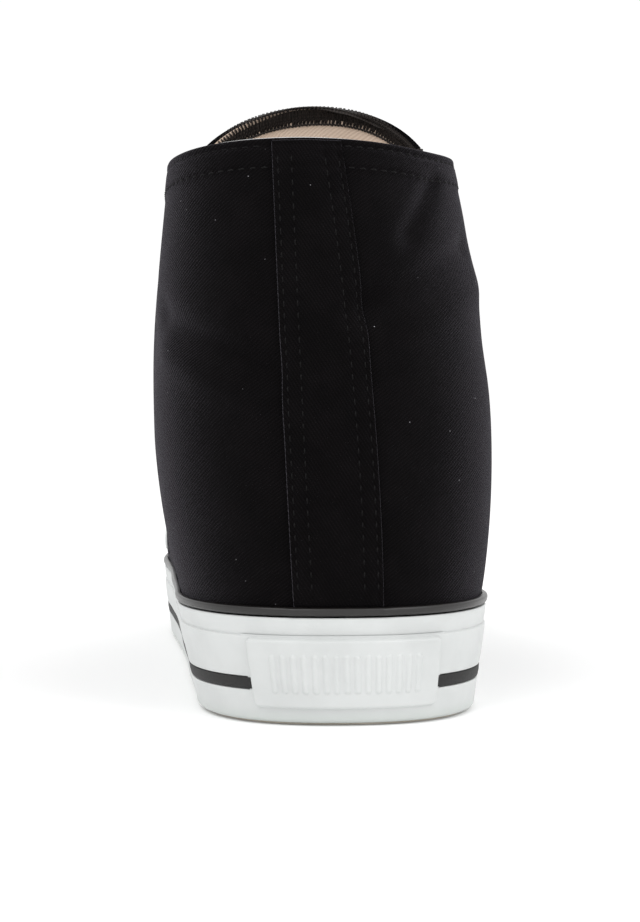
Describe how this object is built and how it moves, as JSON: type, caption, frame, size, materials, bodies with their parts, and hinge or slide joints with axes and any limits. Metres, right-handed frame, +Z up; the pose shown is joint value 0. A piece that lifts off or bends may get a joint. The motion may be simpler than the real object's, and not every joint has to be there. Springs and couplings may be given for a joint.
{
  "type": "high top sneaker",
  "caption": "Canvas high top sneaker with a rubber side wall, toe cap, heel strip, open collar and tongue, standing empty on its sole.",
  "frame": {"origin": "on the floor, in the middle of the heel's tread", "axes": "+Z up, +Y toward the toe, -X toward the outer side"},
  "size_m": [0.1056, 0.2943, 0.1568],
  "materials": {
    "outsole": "matte rubber tread",
    "foxing": "smooth satin rubber",
    "foxing_band": "glossy rubber",
    "foxing_stripe": "satin rubber",
    "heel_plate": "satin rubber with a fine relief",
    "toe_cap": "smooth satin rubber",
    "upper": "cotton twill canvas",
    "heel_strip": "cotton twill canvas",
    "eyestay_inner": "cotton twill canvas",
    "eyestay_outer": "cotton twill canvas",
    "tongue": "natural canvas",
    "insole": "cotton over foam",
    "lace_bar_1": "flat woven cotton",
    "eyelet_inner_1": "polished",
    "eyelet_outer_1": "polished",
    "lace_bar_2": "flat woven cotton",
    "eyelet_inner_2": "polished",
    "eyelet_outer_2": "polished",
    "lace_bar_3": "flat woven cotton",
    "eyelet_inner_3": "polished",
    "eyelet_outer_3": "polished",
    "lace_bar_4": "flat woven cotton",
    "eyelet_inner_4": "polished",
    "eyelet_outer_4": "polished",
    "lace_bar_5": "flat woven cotton",
    "eyelet_inner_5": "polished",
    "eyelet_outer_5": "polished",
    "lace_bar_6": "flat woven cotton",
    "eyelet_inner_6": "polished",
    "eyelet_outer_6": "polished",
    "lace_bar_7": "flat woven cotton",
    "eyelet_inner_7": "polished",
    "eyelet_outer_7": "polished"
  },
  "bodies": {
    "root": {"outsole": "outsole", "foxing": "foxing", "foxing_band": "foxing_band", "foxing_stripe": "foxing_stripe", "heel_plate": "heel_plate", "toe_cap": "toe_cap", "upper": "upper", "heel_strip": "heel_strip", "eyestay_inner": "eyestay_inner", "eyestay_outer": "eyestay_outer", "tongue": "tongue", "insole": "insole", "lace_bar_1": "lace_bar_1", "eyelet_inner_1": "eyelet_inner_1", "eyelet_outer_1": "eyelet_outer_1", "lace_bar_2": "lace_bar_2", "eyelet_inner_2": "eyelet_inner_2", "eyelet_outer_2": "eyelet_outer_2", "lace_bar_3": "lace_bar_3", "eyelet_inner_3": "eyelet_inner_3", "eyelet_outer_3": "eyelet_outer_3", "lace_bar_4": "lace_bar_4", "eyelet_inner_4": "eyelet_inner_4", "eyelet_outer_4": "eyelet_outer_4", "lace_bar_5": "lace_bar_5", "eyelet_inner_5": "eyelet_inner_5", "eyelet_outer_5": "eyelet_outer_5", "lace_bar_6": "lace_bar_6", "eyelet_inner_6": "eyelet_inner_6", "eyelet_outer_6": "eyelet_outer_6", "lace_bar_7": "lace_bar_7", "eyelet_inner_7": "eyelet_inner_7", "eyelet_outer_7": "eyelet_outer_7"}
  },
  "joints": []
}
